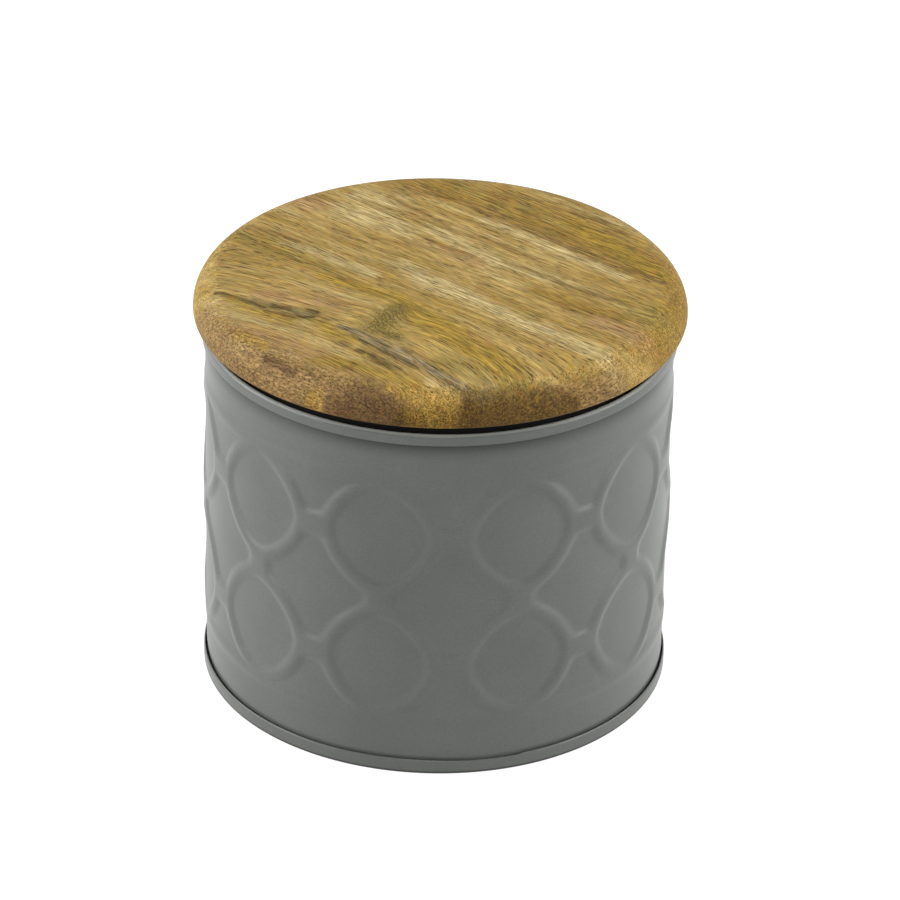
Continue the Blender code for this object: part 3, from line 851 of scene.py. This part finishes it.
print("stains:", ", ".join(mark[0] for mark in MARKS))

# %% [markdown]
# Small flecks of rust, olive and gold give mango wood its lively tone. Its pores are dark dashes
# about 0.25 mm wide and 4 mm long. Where the grain meets the surface end on, in the rounded rim
# and at the knot, the flecks are weaker and the pores are dots.

# %% Flecks and pores
FLECKS = ("B06C2C", "85843A", "CCA436")
PORE = "38220E"


def flecked(tree, colour, end_on):
    place = in_grain(tree, 3.2, 1.1)
    flecks = add(tree, "TexNoise", {"Vector": place, "Scale": 1, "Detail": 3}).outputs["Color"]
    flecks = add(tree, "SeparateColor", {0: flecks}).outputs
    strong = add(tree, "Math", {0: end_on, 1: -0.24, 2: 0.38}, operation="MULTIPLY_ADD")
    for fleck, hue in zip(flecks, FLECKS):
        amount = add(tree, "MapRange", {0: fleck, 1: 0.54, 2: 0.72, 4: strong})
        colour = add(tree, "Mix", {FACTOR: amount, FROM: colour, TO: linear(hue)}, data_type="RGBA")
    return colour


def pored(tree, colour, end_on):
    """The colour with the pores in it, and the pores alone."""
    pores = add(tree, "Math", {0: dashes(tree, 9, 0.5, 0.26), 1: dashes(tree, 5, 0.55, 0.24)},
                operation="MAXIMUM")
    pores = add(tree, "Mix", {FACTOR: end_on, LOW: pores, HIGH: dashes(tree, 0.95, 0.5, 0.42)})
    amount = add(tree, "Math", {0: end_on, 1: -0.2, 2: 0.86}, operation="MULTIPLY_ADD")
    amount = add(tree, "Math", {0: pores, 1: amount}, operation="MULTIPLY")
    return add(tree, "Mix", {FACTOR: amount, FROM: colour, TO: linear(PORE)}, data_type="RGBA"), pores


# %% [markdown]
# The wood is layered as a painter would do it: ground, marks, fibres, flecks, and last the pores.
# The board's rounded edge is made a little deeper and yellower: partly the end grain's own deeper
# tone, partly painted shade on the rim. The oil has dried nearly matt: a non-metal, rough 0.64, with
# little shine. The plug is the same wood, sanded and plain, so it has no marks.

# %% Mango wood
GROUND = [(0.32, "9A7E3E"), (0.44, "AC8F50"), (0.55, "BA9F62"), (0.70, "CCB67E")]
EDGE_TONE_AND_SHADE = "ECE7D4"
MATT, SHINE, GRAIN_DEPTH = 0.64, 0.14, 0.06


def mango_wood(name, marks):
    material, tree, shader = new_material(name)
    clouds, veins, fibres = streaks(tree, 80, 7, 4), streaks(tree, 24, 1.3, 3), streaks(tree, 8, 0.34)
    colour = add(tree, "ValToRGB", {0: clouds}, ramp=[(stop, linear(hue)) for stop, hue in GROUND])
    dark_or_light = add(tree, "MapRange", {0: fibres, 1: 0.38, 2: 0.62})
    ragged = frayed(tree, veins, fibres)
    end_on = 0.0
    if marks:
        rim, knot = [add(tree, "Attribute", attribute_name=mark).outputs["Fac"]
                     for mark in ("end_grain", "knot")]
        end_on = add(tree, "Math", {0: rim, 1: knot}, operation="MAXIMUM")
        end_on = add(tree, "Math", {0: ragged, 1: 2.0, 2: end_on}, operation="MULTIPLY_ADD")
        end_on = add(tree, "MapRange", {0: end_on, 1: -0.4, 2: 0.4})
        fibres = add(tree, "Mix", {FACTOR: end_on, LOW: fibres, HIGH: streaks(tree, 1.1, 0.5, 1)})

    colour = stained(tree, colour, marks, ragged, dark_or_light)
    colour = shaded(tree, colour, veins, 0.72, 1.2)
    colour = shaded(tree, colour, fibres, 0.5, 1.38)
    colour = flecked(tree, colour, end_on)
    colour, pores = pored(tree, colour, end_on)
    if marks:
        # the rounded edge is deepened: partly its end grain's own tone, partly painted shade
        edge = add(tree, "Attribute", attribute_name="edge").outputs["Fac"]
        colour = add(tree, "Mix", {FACTOR: edge, FROM: colour, TO: linear(EDGE_TONE_AND_SHADE)},
                     data_type="RGBA", blend_type="MULTIPLY")
    height = add(tree, "Math", {0: fibres, 1: 0.5}, operation="MULTIPLY")
    height = add(tree, "Math", {0: pores, 1: -1.0, 2: height}, operation="MULTIPLY_ADD")
    bump = add(tree, "Bump", {"Height": height, "Strength": 0.35, "Distance": GRAIN_DEPTH * MM})
    fill(tree, shader, {"Base Color": colour, "Roughness": MATT, "Specular IOR Level": SHINE,
                        "Normal": bump})
    return material


# %% [markdown]
# Both pieces get their place in the grain. The plug is cut from another part of the plank, 200 mm
# further along. The board also gets its strokes and the measure of its rounded edge.

# %% Wood on the lid
EDGE_FROM, EDGE_OVER = FLAT_R + 1.8, 5.6
FURTHER_ALONG = 200
board_wood = mango_wood("oiled_mango_wood", MARKS)
board = finish_piece("turned_board", board_shape, board_wood, "lid", "lid_board")
x, y, z = places(board.data)
store(board.data, "grain", "FLOAT_VECTOR", grain_space(x, y, z - BOARD_TOP, bent=1))
store(board.data, "edge", "FLOAT", np.clip((np.hypot(x, y) - EDGE_FROM) / EDGE_OVER, 0, 1))
for name, strokes in FIGURE.items():
    strength = stroke_strength(x, y, strokes)
    store(board.data, name, "FLOAT", strength)
    print(name, "covers", int((strength > 0).sum()), "points")

plug_wood = mango_wood("sanded_mango_wood", [])
plug = finish_piece("turned_plug", plug_shape, plug_wood, "lid", "lid_plug")
x, y, z = places(plug.data)
store(plug.data, "grain", "FLOAT_VECTOR", grain_space(x + FURTHER_ALONG, y, z, bent=0))

# %% [markdown]
# The seal is moulded rubber: near black, matt, with the faint grey bloom that rubber gets.

# %% Seal rubber
BLOOM = 90                       # clouds per metre
rubber, tree, shader = new_material("moulded_black_rubber")
place = add(tree, "TexCoord").outputs["Object"]
bloom = add(tree, "TexNoise", {"Vector": place, "Scale": BLOOM, "Detail": 3})
shade = add(tree, "ValToRGB", {0: bloom}, ramp=[(0.35, linear("070606")), (0.75, linear("121110"))])
fill(tree, shader, {"Base Color": shade, "Roughness": 0.75, "Specular IOR Level": 0.2})
finish_piece("finned_seal", seal_shape, rubber, "seal", "seal_ring")
